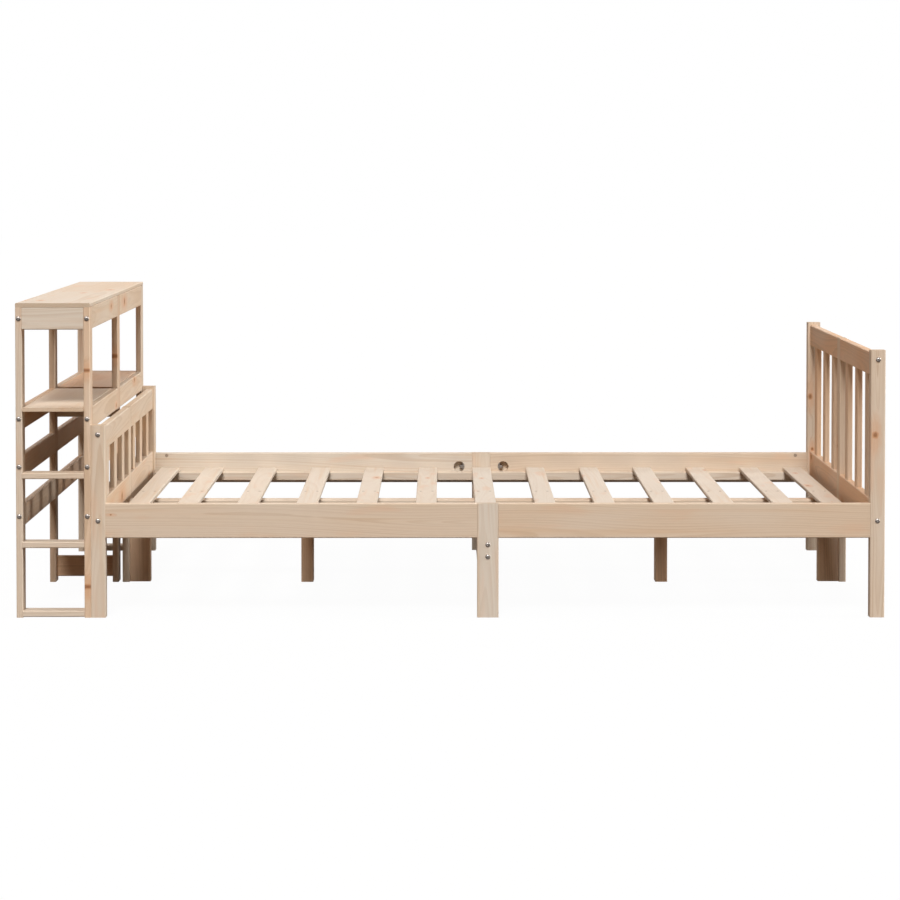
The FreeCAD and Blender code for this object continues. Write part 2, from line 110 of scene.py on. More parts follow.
class Nodes:  # a node tree and the ways to add to it
    def __init__(self, tree):
        self.tree = tree

    def add(self, kind, settings=None, inputs=None, output=0):
        node = self.tree.nodes.new(kind)
        for setting, value in (settings or {}).items():
            setattr(node, setting, value)
        for name, value in (inputs or {}).items():
            self.feed(node.inputs[name], value)
        return Wire(self, node.outputs[output])

    def feed(self, socket, value):
        if isinstance(value, Wire):
            self.tree.links.new(value.socket, socket)
        else:
            socket.default_value = value

    def split(self, vector):
        first = self.add("ShaderNodeSeparateXYZ", {}, {0: vector})
        return [first.outlet(axis) for axis in ("X", "Y", "Z")]

    def join(self, x, y, z):
        return self.add("ShaderNodeCombineXYZ", {}, {"X": x, "Y": y, "Z": z})

    def blend(self, factor, first, second, how="MIX"):  # colours are (red, green, blue) or wires
        pair = [value if isinstance(value, Wire) else (*value, 1.0) for value in (first, second)]
        return self.add("ShaderNodeMix", {"data_type": "RGBA", "blend_type": how},
                        {0: factor, 6: pair[0], 7: pair[1]}, 2)

    def scaled(self, vector, factor):
        return self.add("ShaderNodeVectorMath", {"operation": "SCALE"}, {0: vector, "Scale": factor})

    def noise(self, vector, detail=2.0, roughness=0.5):
        return self.add("ShaderNodeTexNoise", {"noise_dimensions": "3D"},
                        {"Vector": vector, "Scale": 1.0, "Detail": detail, "Roughness": roughness})

    def wave(self, place):  # slow change along one line, from -0.5 to 0.5
        return self.add("ShaderNodeTexNoise", {"noise_dimensions": "1D"},
                        {"W": place, "Scale": 1.0, "Detail": 1.0, "Roughness": 0.4}) - 0.5

    def chance(self, number):  # the same draw for the same number
        return self.add("ShaderNodeTexWhiteNoise", {"noise_dimensions": "1D"}, {"W": number})


def newFinish(name):
    material = bpy.data.materials.new(name)
    material.use_nodes = True
    nodes = Nodes(material.node_tree)
    return material, nodes, material.node_tree.nodes["Principled BSDF"]


def looseSolids(node):  # lowest and highest corner of each separate solid in a node
    mesh = bmesh.new()
    mesh.from_mesh(frame["nodes"][node].data)
    bmesh.ops.remove_doubles(mesh, verts=mesh.verts, dist=1e-6)
    left = set(mesh.verts)
    corners = []
    while left:
        front = [left.pop()]
        island = list(front)
        while front:
            for edge in front.pop().link_edges:
                for vert in edge.verts:
                    if vert in left:
                        left.remove(vert)
                        front.append(vert)
                        island.append(vert)
        low = Vector([min(vert.co[axis] for vert in island) for axis in range(3)])
        high = Vector([max(vert.co[axis] for vert in island) for axis in range(3)])
        corners.append((low, high))
    mesh.free()
    return corners


# Camera and light
photoView = {
    "place": (-0.0212, -8.8943, 1.1868),
    "tiltDown": 0.0401,
    "turn": -0.0024,
    "focalPixels": 3151.4,
    "framePixels": 900,
    "sensorWidth": 36.0,
    "shiftDown": 0.18,
    "farClip": 200.0,
}

studio = {
    "lamps": {  # where each lamp shines from, its power and its angle
        "front": ((-0.04, -0.74, 0.67), 2.60, 18.0),
        "side": ((0.945, -0.05, 0.30), 2.14, 18.0),
        "back": ((-0.12, 0.95, 0.27), 1.25, 30.0),
    },
    "skyHigh": (0.30, 0.305, 0.31),
    "skyLow": (0.05, 0.05, 0.05),
    "skyRise": (0.25, 1.0),
    "darkSide": (1.22, 0.54, 0.24),  # tint of the sky on the side behind the bookcase
    "darkSideRise": (-0.9, 0.6),
    "cardHeight": 0.2030,      # dark scrim under the slats, which holds back part of the light
    "cardStart": 0.45,         # how far from the low panel it begins
    "caseCardHeight": 0.3000,  # the scrim in the bookcase
    "cardPaint": (0.09, 0.055, 0.035),
    "cardCover": 0.50,
    "flagReach": (0.80, 30.0),  # dark flags before and behind the bed, which only the steel mirrors
    "flagPaint": (0.03, 0.018, 0.012),
    "floorSize": 80.0,
    "floorDrop": 0.0004,
    "floorWhite": (1.0, 1.0, 1.0),
    "floorBounce": (0.20, 0.15, 0.11),  # what the floor throws back at the bed
    "floorGlow": 0.965,        # nearer to 1 is a fainter shadow
}


def viewRays(nodes):  # 1 for rays that show the background, 0 for those that light the bed
    camera = nodes.add("ShaderNodeLightPath", output="Is Camera Ray")
    return camera.largest(camera.outlet("Is Glossy Ray")).largest(camera.outlet("Is Transmission Ray"))


def stageSheet(name, low, high):  # a flat sheet at the height of its low corner
    mesh = bmesh.new()
    middle = Vector(((low.x + high.x) / 2, (low.y + high.y) / 2, low.z))
    bmesh.ops.create_grid(mesh, x_segments=1, y_segments=1, size=0.5)
    bmesh.ops.scale(mesh, vec=(high.x - low.x, high.y - low.y, 1.0), verts=mesh.verts)
    bmesh.ops.translate(mesh, vec=middle, verts=mesh.verts)
    data = bpy.data.meshes.new(name)
    mesh.to_mesh(data)
    mesh.free()
    sheet = bpy.data.objects.new(name, data)
    bpy.context.scene.collection.objects.link(sheet)
    return sheet


def setUpStudio():
    scene = bpy.context.scene
    scene.view_settings.view_transform = "Standard"

    lens = bpy.data.cameras.new("photoCamera")
    lens.sensor_width = photoView["sensorWidth"]
    lens.lens = photoView["focalPixels"] / photoView["framePixels"] * photoView["sensorWidth"]
    lens.shift_y = -photoView["shiftDown"]
    lens.clip_end = photoView["farClip"]
    camera = bpy.data.objects.new("photoCamera", lens)
    camera.location = photoView["place"]
    camera.rotation_euler = (math.pi / 2 - photoView["tiltDown"], 0.0, photoView["turn"])
    scene.collection.objects.link(camera)
    scene.camera = camera

    for name, (source, power, angle) in studio["lamps"].items():
        light = bpy.data.lights.new(name, "SUN")
        light.energy = power
        light.angle = math.radians(angle)
        lamp = bpy.data.objects.new(name, light)
        lamp.rotation_euler = Vector(source).to_track_quat("Z", "Y").to_euler()
        lamp.visible_glossy = name != "back"  # the lamp behind the bed gives no sheen
        scene.collection.objects.link(lamp)

    world = bpy.data.worlds.new("paleRoom")
    world.use_nodes = True
    scene.world = world
    nodes = Nodes(world.node_tree)
    way = nodes.split(nodes.add("ShaderNodeTexCoord", output="Generated"))
    eastward = way[0]
    height = way[2]
    sky = nodes.blend(height.rise(*studio["skyRise"]), studio["skyLow"], studio["skyHigh"])
    shade = nodes.blend(eastward.rise(*studio["darkSideRise"]), studio["darkSide"], (1.0, 1.0, 1.0))
    sky = nodes.blend(1.0, sky, shade, "MULTIPLY")
    backdrop = nodes.blend(viewRays(nodes), sky, (1.0, 1.0, 1.0))
    nodes.feed(world.node_tree.nodes["Background"].inputs["Color"], backdrop)

    half = studio["floorSize"] / 2
    floor = stageSheet("floor", Vector((-half, -half, -studio["floorDrop"])), Vector((half, half, 0.0)))
    material, nodes, shader = newFinish("paleFloor")
    shown = viewRays(nodes)
    paint = nodes.add("ShaderNodeBsdfDiffuse", {},
                      {"Color": nodes.blend(shown, studio["floorBounce"], studio["floorWhite"])})
    glow = nodes.add("ShaderNodeEmission", {}, {"Color": (1.0, 1.0, 1.0, 1.0), "Strength": 1.0})
    mixed = nodes.add("ShaderNodeMixShader", {}, {0: shown * studio["floorGlow"], 1: paint, 2: glow})
    nodes.feed(material.node_tree.nodes["Material Output"].inputs["Surface"], mixed)
    material.node_tree.nodes.remove(shader)
    floor.data.materials.append(material)

    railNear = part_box("side_rail_near_low")[1]
    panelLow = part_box("low_bottom_rail_near")[1]
    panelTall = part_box("tall_bottom_rail_near")[0]
    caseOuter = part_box("bookcase_post_near_outer")[1]
    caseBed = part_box("bookcase_post_near_bed")[0]
    cards = {
        "shadeCard": (Vector((panelLow.x + studio["cardStart"], railNear.y, studio["cardHeight"])),
                      Vector((panelTall.x, -railNear.y, 0.0))),
        "caseCard": (Vector((caseOuter.x, caseOuter.y, studio["caseCardHeight"])),
                     Vector((caseBed.x, -caseOuter.y, 0.0))),
    }
    material, nodes, shader = newFinish("cardPaint")
    shader.inputs["Base Color"].default_value = (*studio["cardPaint"], 1.0)
    shader.inputs["Alpha"].default_value = studio["cardCover"]
    for name, (low, high) in cards.items():
        card = stageSheet(name, low, high)
        card.data.materials.append(material)
        card.visible_camera = False
        card.visible_glossy = False
        card.visible_transmission = False

    material, nodes, shader = newFinish("flagPaint")
    shader.inputs["Base Color"].default_value = (*studio["flagPaint"], 1.0)
    near, far = studio["flagReach"]
    for name, low, high in (("flagBefore", -far, -near), ("flagBehind", near, far)):
        flag = stageSheet(name, Vector((-far, low, studio["floorDrop"])), Vector((far, high, 0.0)))
        flag.data.materials.append(material)
        flag.visible_camera = False
        flag.visible_diffuse = False
        flag.visible_shadow = False
        flag.visible_transmission = False
    print("studio ready")


# Pine boards
pineLook = {
    "tones": [(0.765, 0.68, 0.575), (0.75, 0.592, 0.442), (0.84, 0.46, 0.23)],  # cream, tan, brown
    "lateWood": (0.50, 0.31, 0.16),
    "honey": (0.68, 0.43, 0.22),
    "flush": (0.76, 0.50, 0.33),
    "knotFlare": (0.72, 0.38, 0.19),
    "knotBody": (0.60, 0.28, 0.13),
    "knotCore": (0.30, 0.13, 0.06),
    "endGrain": (0.52, 0.36, 0.22),
    "wornAndHighlitEdge": (0.80, 0.69, 0.55),
    "ringWidth": 0.0052,
    "boardWidth": 0.056,   # where a node has several boards side by side
    "usualTone": (0.4, 1.0),
    "lateShare": 0.42,
    "honeyShare": 0.42,
    "creamShare": 0.32,
    "dashShare": 0.22,
    "flushShare": 0.40,
    "endShare": 0.45,
    "edgeShare": 0.20,
    "fibreShade": (0.92, 0.16),  # least, and what the fibre adds
    "knotCells": (2.6, 15.0),    # cells per metre along and across the grain
    "knotShare": 0.80,     # cells above this draw hold a knot
    "knotSpread": 0.038,   # knot radius per unit of the draw
    "roughness": 0.55,
    "shine": 0.10,
    "grainStrength": 0.35,
    "grainDepth": 0.0004,
}

grainOf = [  # start of a node's name, the axis along its grain, the axis through its thickness
    ("low_panel_spindles", "z", "x"),
    ("tall_panel_spindles", "z", "x"),
    ("low_centre_stile", "z", "x"),
    ("tall_centre_stile", "z", "x"),
    ("low_post", "z", "y"),
    ("tall_post", "z", "y"),
    ("low_", "y", "x"),
    ("tall_", "y", "x"),
    ("side_rail", "x", "y"),
    ("slat_ledgers", "x", "y"),
    ("slat_packers", "y", "z"),
    ("mid_leg", "z", "y"),
    ("cross_beam", "y", "x"),
    ("centre_beam", "x", "z"),
    ("beam_end_legs", "z", "y"),
    ("centre_legs", "z", "x"),
    ("bed_slat", "y", "z"),
    ("bookcase_post", "z", "x"),
    ("bookcase_apron", "x", "y"),
    ("bookcase_mid", "x", "y"),
    ("bookcase_rungs", "x", "z"),
    ("bookcase_top", "y", "z"),
    ("bookcase_shelf", "y", "z"),
    ("bookcase_rails", "y", "x"),
]

toneAndPaintedShadeOf = {  # 0 is cream, 1 is tan and 2 is brown; a node of several boards has its least and most
    # painted shade: the tall panel's rails and spindles, the bookcase's outer rails, mid posts and shelves
    # are set browner to stand in for the shade on them
    "tall_top_rail": 1.55,
    "tall_bottom_rail": 1.55,
    "tall_panel_spindles": (1.2, 1.6),
    "tall_centre_stile": 1.1,
    "tall_post_far": 0.7,
    "low_top_rail": 1.0,
    "low_bottom_rail": 1.15,
    "low_panel_spindles": (0.8, 1.3),
    "low_centre_stile": 0.9,
    "bed_slat_middle": 0.0,
    "bed_slat": (0.1, 0.45),
    "beam_end_legs": (1.4, 1.7),
    "centre_legs": (1.5, 1.8),
    "bookcase_mid_foot_board": 1.5,
    "bookcase_rails_outer": (1.1, 1.5),
    "bookcase_post_mid": 1.3,
    "bookcase_rails_bed": (0.8, 1.25),
    "slat_ledgers": (0.2, 0.5),
    "side_rail_near_low": 0.8,
    "side_rail_near_tall": 1.0,
    "side_rail_far_low": 0.0,
    "side_rail_far_tall": 0.7,
    "mid_leg_near": 0.0,
    "mid_leg_far": 0.3,
    "low_post_near": 0.65,
    "tall_post_near": 0.7,
    "bookcase_apron_near": 0.1,
    "bookcase_post_near_outer": 0.5,
    "bookcase_post_near_bed": 1.2,
    "bookcase_top_near": 0.4,
    "bookcase_shelf_near": 0.85,
    "bookcase_shelf_far": 1.5,
}

paintedLightAndShadeOf = {  # painted light and shade: how much lighter or darker a board's colour is made, where it isn't 1, for how light falls on it
    "side_rail_far": 0.93,
    "mid_leg_far": 0.93,
    "bookcase_rails_outer": 0.84,
    "bookcase_post_mid_outer": 0.78,
    "bookcase_post_mid_bed": 0.92,
    "bookcase_shelf": 1.12,
    "bookcase_top": 0.95,
}

figureOf = {  # how plainly the growth rings show, where it isn't 1
    "bed_slat": 0.30,
    "bookcase_top": 0.60,
    "bookcase_shelf": 0.60,
    "side_rail": 0.75,
    "mid_leg": 0.60,
}

knotsOf = {  # place along the grain, place across it, radius
    "tall_post_near": [(0.476, 1.104, 0.0085)],
    "tall_post_far": [(0.471, 1.100, 0.0085)],
    "bookcase_post_near_bed": [(0.645, -0.7275, 0.0045), (0.081, -0.7275, 0.0055)],
    "bookcase_rails_bed": [(0.165, 0.785, 0.014), (-0.195, 0.788, 0.009),
                           (0.445, 0.540, 0.010), (-0.072, 0.504, 0.007)],
    "bookcase_top_near": [(-0.085, -1.025, 0.006)],
    "bookcase_top_far": [(0.125, -0.973, 0.007)],
    "bookcase_post_mid_bed": [(0.639, -0.029, 0.0055)],
    "low_bottom_rail_near": [(-0.228, 0.265, 0.016), (-0.50, 0.262, 0.011)],
    "tall_bottom_rail_far": [(0.646, 0.291, 0.011)],
}


def chosen(table, node, usual):  # the value of the first name start that fits
    for start, value in table.items():
        if node.startswith(start):
            return value
    return usual


def layOf(node):  # middles of a node's boards, on each axis where they lie side by side
    centres = [(low + high) / 2 for low, high in looseSolids(node)]
    lay = {}
    for index, axis in enumerate("xyz"):
        places = []
        for place in sorted(centre[index] for centre in centres):
            if not places or place - places[-1] > 0.005:
                places.append(place)
        if len(places) > 1:
            lay[axis] = places
    return lay


def knotGaps(knots, stretch):  # distance to the nearest knot, in knot radii
    gaps = [((alongGap * stretch) ** 2.0 + acrossGap ** 2.0).root() / size
            for alongGap, acrossGap, size in knots]
    nearest = gaps[0]
    for gap in gaps[1:]:
        nearest = nearest.smallest(gap)
    return nearest


def pineFinish(node, grain, face, seed):
    material, wood, shader = newFinish("pine_" + node)
    draw = random.Random(seed)
    low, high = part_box(node)
    lay = layOf(node)
    axes = dict(zip("xyz", wood.split(wood.add("ShaderNodeTexCoord", output="Object"))))
    side = [axis for axis in "xyz" if axis not in (grain, face)][0]

    local = {}
    number = float(seed)
    for index, axis in enumerate("xyz"):
        if axis in lay:
            middle = lay[axis][0]
            for before, after in zip(lay[axis], lay[axis][1:]):
                beyond = axes[axis].maths("GREATER_THAN", axes[axis], (before + after) / 2)
                middle = beyond * (after - before) + middle
                number = beyond * (3.7 + index) + number
            local[axis] = axes[axis] - middle
        else:
            local[axis] = axes[axis] - (low[index] + high[index]) / 2
    if lay:
        first, second, third = wood.split(wood.chance(number).outlet("Color"))
    else:
        first, second, third = draw.random(), draw.random(), draw.random()
    # tone of the wood, browner on some boards as painted shade
    toneAndShade = chosen(toneAndPaintedShadeOf, node, pineLook["usualTone"])
    if isinstance(toneAndShade, tuple):
        toneAndShade = first * (toneAndShade[1] - toneAndShade[0]) + toneAndShade[0]
    along = axes[grain] + third * 40.0 + draw.random() * 9.0
    across = local[side]
    deep = local[face]

    # knots: a sparse scatter, then the listed ones
    cellAlong, cellAcross = pineLook["knotCells"]
    spread = wood.join(along * cellAlong, across * cellAcross + second * 30.0, 0.0)
    scatter = wood.add("ShaderNodeTexVoronoi", {"voronoi_dimensions": "2D", "feature": "F1"},
                       {"Vector": spread, "Scale": 1.0, "Randomness": 0.9}, "Position")
    knotX, knotY = wood.split(scatter)[:2]
    spreadX, spreadY = wood.split(spread)[:2]
    knotDraw = wood.split(scatter.outlet("Color"))[0]
    knotSize = ((knotDraw - pineLook["knotShare"]) * pineLook["knotSpread"]).largest(0.0001)
    knots = [((knotX - spreadX) / cellAlong, (knotY - spreadY) / cellAcross, knotSize)]
    for knotAlong, knotAcross, knotRadius in knotsOf.get(node, []):
        knots.append((axes[grain] - knotAlong, axes[side] - knotAcross, knotRadius))
    knotGap, flareGap = knotGaps(knots, 0.75), knotGaps(knots, 0.30)
    ragged = wood.noise(wood.join(along * 70.0, across * 130.0, deep * 60.0), 3.0)
    knotGap = knotGap + (ragged - 0.5) * 0.9
    knotCore = knotGap.rise(0.75, 0.30)
    knotBody = knotGap.rise(1.15, 0.70)
    knotFlare = (flareGap + (ragged - 0.5) * 1.2).rise(2.8, 0.7)

    # growth rings about a pith that wanders along the board
    width = pineLook["boardWidth"]
    if side not in lay:
        width = high["xyz".index(side)] - low["xyz".index(side)]
    pithAcross = (first - 0.5) * (1.3 * width)
    pithDeep = second * 0.055 + 0.018
    bend = wood.wave(along * 1.1) * 0.045
    dip = wood.wave(along * 0.75 + 17.0) * 0.060
    shiver = wood.noise(wood.join(along * 7.0, across * 55.0, deep * 55.0)) - 0.5
    reach = ((across - pithAcross + bend) ** 2.0 + (deep + pithDeep + dip) ** 2.0).root()
    reach = reach + shiver * 0.0030 + knotFlare * 0.0060
    rings = reach / pineLook["ringWidth"]
    rings = rings + wood.wave(rings * 0.45 + third * 20.0) * 1.2
    ring = rings.floor()
    within = rings - ring
    late = within.rise(0.25, 0.88) * within.rise(1.0, 0.93)
    figure = chosen(figureOf, node, 1.0)
    late = late * (wood.chance(ring + seed) * (0.65 * figure) + 0.35 * figure)

    fibre = wood.noise(wood.join(along * 22.0, across * 800.0, deep * 800.0), 3.0, 0.6)
    streak = wood.noise(wood.join(along * 1.6, across * 60.0, deep * 60.0), 2.0)
    patch = wood.noise(wood.join(along * 2.4, across * 9.0, deep * 9.0), 1.0)
    flush = wood.noise(wood.join(along * 5.0 + 3.0, across * 24.0, deep * 24.0), 2.0)
    dash = wood.noise(wood.join(along * 45.0, across * 1500.0, deep * 1500.0), 1.0).rise(0.70, 0.78)

    cream, tan, brown = pineLook["tones"]
    if isinstance(toneAndShade, Wire):
        ground = wood.blend(toneAndShade - 1.0, wood.blend(toneAndShade, cream, tan), brown)
    else:
        pair, part = ((cream, tan), toneAndShade) if toneAndShade < 1.0 else ((tan, brown), toneAndShade - 1.0)
        ground = [pale + (warm - pale) * part for pale, warm in zip(*pair)]
    colour = wood.blend(late * pineLook["lateShare"], ground, pineLook["lateWood"])
    colour = wood.blend(streak.rise(0.52, 0.80) * pineLook["honeyShare"], colour, pineLook["honey"])
    colour = wood.blend(patch.rise(0.35, 0.70) * pineLook["creamShare"], colour, cream)
    colour = wood.blend(dash * pineLook["dashShare"], colour, pineLook["lateWood"])
    # painted light and shade: the board's colour is made lighter or darker for how light falls on it
    shade = chosen(paintedLightAndShadeOf, node, 1.0)
    leastShade, fibreGain = pineLook["fibreShade"]
    colour = wood.scaled(colour, fibre * (fibreGain * shade) + leastShade * shade)
    colour = wood.blend(flush.rise(0.57, 0.74) * pineLook["flushShare"], colour, pineLook["flush"])
    colour = wood.blend(knotFlare * (fibre * 0.7 + 0.10), colour, pineLook["knotFlare"])
    colour = wood.blend(knotBody * (ragged * 0.5 + 0.40), colour, pineLook["knotBody"])
    colour = wood.blend(knotCore * (ragged * 0.5 + 0.50), colour, pineLook["knotCore"])

    normal = wood.add("ShaderNodeTexCoord", output="Normal")
    faces = dict(zip("xyz", [abs(part) for part in wood.split(normal)]))
    cutEnd = faces[grain].rise(0.75, 0.95)
    chamfer = faces["x"].largest(faces["y"]).largest(faces["z"]).rise(0.93, 0.80)
    colour = wood.blend(cutEnd * pineLook["endShare"], colour, pineLook["endGrain"])
    # chamfered edges blended paler: partly wear, partly a painted highlight where the edges catch the light
    colour = wood.blend(chamfer * pineLook["edgeShare"], colour, pineLook["wornAndHighlitEdge"])

    wood.feed(shader.inputs["Base Color"], colour)
    wood.feed(shader.inputs["Roughness"], fibre * 0.12 + pineLook["roughness"] - late * 0.08 + cutEnd * 0.12)
    height = fibre * 0.35 + late * 0.65 - dash * 0.4 + knotCore * 0.5
    wood.feed(shader.inputs["Normal"], wood.add("ShaderNodeBump", {}, {
        "Strength": pineLook["grainStrength"], "Distance": pineLook["grainDepth"], "Height": height}))
    shader.inputs["Specular IOR Level"].default_value = pineLook["shine"]
    return material


def dressBoards():
    count = 0
    for seed, node in enumerate(sorted(frame["nodes"])):
        for start, grain, face in grainOf:
            if node.startswith(start) and slotOfNode[node] == "pine":
                frame["nodes"][node].material_slots[0].material = pineFinish(node, grain, face, seed + 1)
                count += 1
                break
    print("pine boards dressed:", count, "nodes")


# Steel fittings
steelLook = {
    "brightSteel": {"bright": (0.44, 0.40, 0.37), "dull": (0.26, 0.225, 0.20), "roughness": 0.22},
    "darkSteel": {"bright": (0.56, 0.46, 0.38), "dull": (0.36, 0.28, 0.21), "roughness": 0.35},
}

steelGrain = {"clouds": 260.0, "specks": 2600.0, "strength": 0.15, "depth": 0.0002}  # first two per metre


def steelFinish(name):
    look = steelLook[name]
    material, steel, shader = newFinish(name)
    place = steel.add("ShaderNodeTexCoord", output="Object")
    cloud = steel.noise(steel.scaled(place, steelGrain["clouds"]), 3.0, 0.6)
    speck = steel.noise(steel.scaled(place, steelGrain["specks"]), 2.0)
    colour = steel.blend(cloud.rise(0.30, 0.75), look["dull"], look["bright"])
    steel.feed(shader.inputs["Base Color"], colour)
    steel.feed(shader.inputs["Roughness"], cloud * 0.18 + speck * 0.08 + look["roughness"])
    steel.feed(shader.inputs["Normal"], steel.add("ShaderNodeBump", {}, {
        "Strength": steelGrain["strength"], "Distance": steelGrain["depth"], "Height": speck * 0.5 + cloud}))
    shader.inputs["Metallic"].default_value = 1.0
    return material


def revolved(profile, steps):  # profile is (radius, height) points from one end to the other
    mesh = bmesh.new()
    verts = [mesh.verts.new((radius, 0.0, height)) for radius, height in profile]
    edges = [mesh.edges.new(pair) for pair in zip(verts, verts[1:])]
    bmesh.ops.spin(mesh, geom=verts + edges, cent=(0, 0, 0), axis=(0, 0, 1), dvec=(0, 0, 0),
                   angle=2 * math.pi, steps=steps, use_merge=True)
    bmesh.ops.remove_doubles(mesh, verts=mesh.verts, dist=1e-6)
    return mesh


def rimAt(mesh, height):  # the open edges at one height
    rim = [edge for edge in mesh.edges if edge.is_boundary or not edge.link_faces]
    return [edge for edge in rim if all(abs(vert.co.z - height) < 1e-6 for vert in edge.verts)]


def finished(mesh):
    bmesh.ops.recalc_face_normals(mesh, faces=mesh.faces)
    data = bpy.data.meshes.new("shape")
    mesh.to_mesh(data)
    mesh.free()
    return data


def stacked(shapes):  # one mesh of (mesh data, where it goes) pairs
    whole = bmesh.new()
    for data, place in shapes:
        before = len(whole.verts)
        whole.from_mesh(data)
        whole.verts.ensure_lookup_table()
        bmesh.ops.transform(whole, matrix=place, verts=whole.verts[before:])
    return whole


def addFittings(name, shapes, slotName, finish, *nodes):
    whole = stacked(shapes)
    for face in whole.faces:
        face.smooth = True
    data = bpy.data.meshes.new(name)
    whole.to_mesh(data)
    whole.free()
    data.set_sharp_from_angle(angle=math.radians(32.0))
    data.materials.append(finish)
    piece = bpy.data.objects.new(name, data)
    bpy.context.scene.collection.objects.link(piece)
    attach(piece, "root")
    if nodes:
        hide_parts(*nodes)
    print(name + ":", len(shapes), "made")
    return piece


def pointing(place, direction):  # turns a shape's own up to a direction, at a place
    return Matrix.Translation(place) @ Vector(direction).to_track_quat("Z", "Y").to_matrix().to_4x4()


domeBolt = {
    "headRadius": 0.0065,
    "headHeight": 0.0045,
    "rimHeight": 0.0011,
    "edge": 0.0003,
    "arcSteps": 7,
    "shankRadius": 0.003,
    "tip": 0.0012,
    "socketAcross": 0.0042,
    "socketDepth": 0.0024,
    "sides": 24,
}


def domeBoltShape(length):  # seat of the head at height 0, head upwards
    shank = domeBolt["shankRadius"]
    radius = domeBolt["headRadius"]
    edge = domeBolt["edge"]
    rim = domeBolt["rimHeight"]
    crown = domeBolt["headHeight"] - rim
    mouth = domeBolt["socketAcross"] * 0.62
    profile = [(0.0, -length), (shank * 0.8, -length), (shank, -length + domeBolt["tip"]),
               (shank, 0.0), (radius * 0.97, 0.0), (radius, edge), (radius, rim * 0.8)]
    for step in range(domeBolt["arcSteps"] + 1):
        turn = math.acos(mouth / radius) * step / domeBolt["arcSteps"]
        profile.append((radius * math.cos(turn), rim + crown * math.sin(turn)))
    mesh = revolved(profile, domeBolt["sides"])
    top = profile[-1][1]
    lip = top - edge
    edges = rimAt(mesh, top)
    hexagon = bmesh.ops.create_circle(mesh, segments=6, radius=domeBolt["socketAcross"] / math.sqrt(3.0),
                                      matrix=Matrix.Translation((0.0, 0.0, lip)))
    hexEdges = list({edge for vert in hexagon["verts"] for edge in vert.link_edges})
    bmesh.ops.subdivide_edges(mesh, edges=hexEdges, cuts=domeBolt["sides"] // 6 - 1)
    hexEdges = rimAt(mesh, lip)
    bmesh.ops.bridge_loops(mesh, edges=edges + hexEdges)
    wall = bmesh.ops.extrude_edge_only(mesh, edges=hexEdges)
    lower = [item for item in wall["geom"] if isinstance(item, bmesh.types.BMVert)]
    bmesh.ops.translate(mesh, verts=lower, vec=(0.0, 0.0, -domeBolt["socketDepth"]))
    bmesh.ops.contextual_create(mesh, geom=rimAt(mesh, lower[0].co.z))
    return finished(mesh)


def boltsOf(node, axis, middle):  # heads face away from the middle of the bed
    index = "xyz".index(axis)
    shapes = []
    for low, high in looseSolids(node):
        centre = (low + high) / 2
        out = 1.0 if centre[index] > middle else -1.0
        seat = centre.copy()
        seat[index] = (high[index] if out > 0 else low[index]) - out * domeBolt["headHeight"]
        length = high[index] - low[index] - domeBolt["headHeight"]
        direction = Vector([out if spot == index else 0.0 for spot in range(3)])
        shapes.append((domeBoltShape(length), pointing(seat, direction)))
    return shapes


barrelNut = {"edge": 0.0006, "slotWidth": 0.0014, "slotDepth": 0.0016, "rimWidth": 0.0009, "sides": 28}


def barrelNutShape(radius, length):  # slotted end at height 0, body downwards
    edge = barrelNut["edge"]
    profile = [(radius - edge, 0.0), (radius, -edge), (radius, edge - length), (radius - edge, -length)]
    mesh = revolved(profile, barrelNut["sides"])
    bmesh.ops.contextual_create(mesh, geom=rimAt(mesh, -length))
    bmesh.ops.contextual_create(mesh, geom=rimAt(mesh, 0.0))
    end = [face for face in mesh.faces if all(abs(vert.co.z) < 1e-7 for vert in face.verts)]
    bmesh.ops.inset_region(mesh, faces=end, thickness=barrelNut["rimWidth"], depth=0.0)
    for sideways in (-1.0, 1.0):
        flat = [face for face in mesh.faces if all(abs(vert.co.z) < 1e-7 for vert in face.verts)
                and all(vert.co.xy.length < radius - edge - barrelNut["rimWidth"] / 2 for vert in face.verts)]
        parts = {item for face in flat for item in (*face.verts, *face.edges)}
        bmesh.ops.bisect_plane(mesh, geom=list(parts) + flat, plane_no=(1.0, 0.0, 0.0),
                               plane_co=(sideways * barrelNut["slotWidth"] / 2, 0.0, 0.0))
    slotFaces = [face for face in mesh.faces if all(abs(vert.co.z) < 1e-7 for vert in face.verts)
                 and all(abs(vert.co.x) < barrelNut["slotWidth"] / 2 + 1e-6 for vert in face.verts)
                 and face.calc_center_median().xy.length < barrelNut["slotWidth"] / 2]
    sunk = bmesh.ops.extrude_face_region(mesh, geom=slotFaces)
    bmesh.ops.delete(mesh, geom=slotFaces, context="FACES_ONLY")
    bmesh.ops.translate(mesh, verts=[item for item in sunk["geom"] if isinstance(item, bmesh.types.BMVert)],
                        vec=(0.0, 0.0, -barrelNut["slotDepth"]))
    return finished(mesh)


def barrelNutsOf(node):  # slots face the middle of the bed
    shapes = []
    for low, high in looseSolids(node):
        centre = (low + high) / 2
        inward = -1.0 if centre.y > 0 else 1.0
        end = Vector((centre.x, high.y if inward > 0 else low.y, centre.z))
        nut = barrelNutShape((high.x - low.x) / 2, high.y - low.y)
        shapes.append((nut, pointing(end, (0.0, inward, 0.0))))
    return shapes


threadedRod = {"pitch": 0.00125, "depth": 0.0006, "stepsPerTurn": 16}


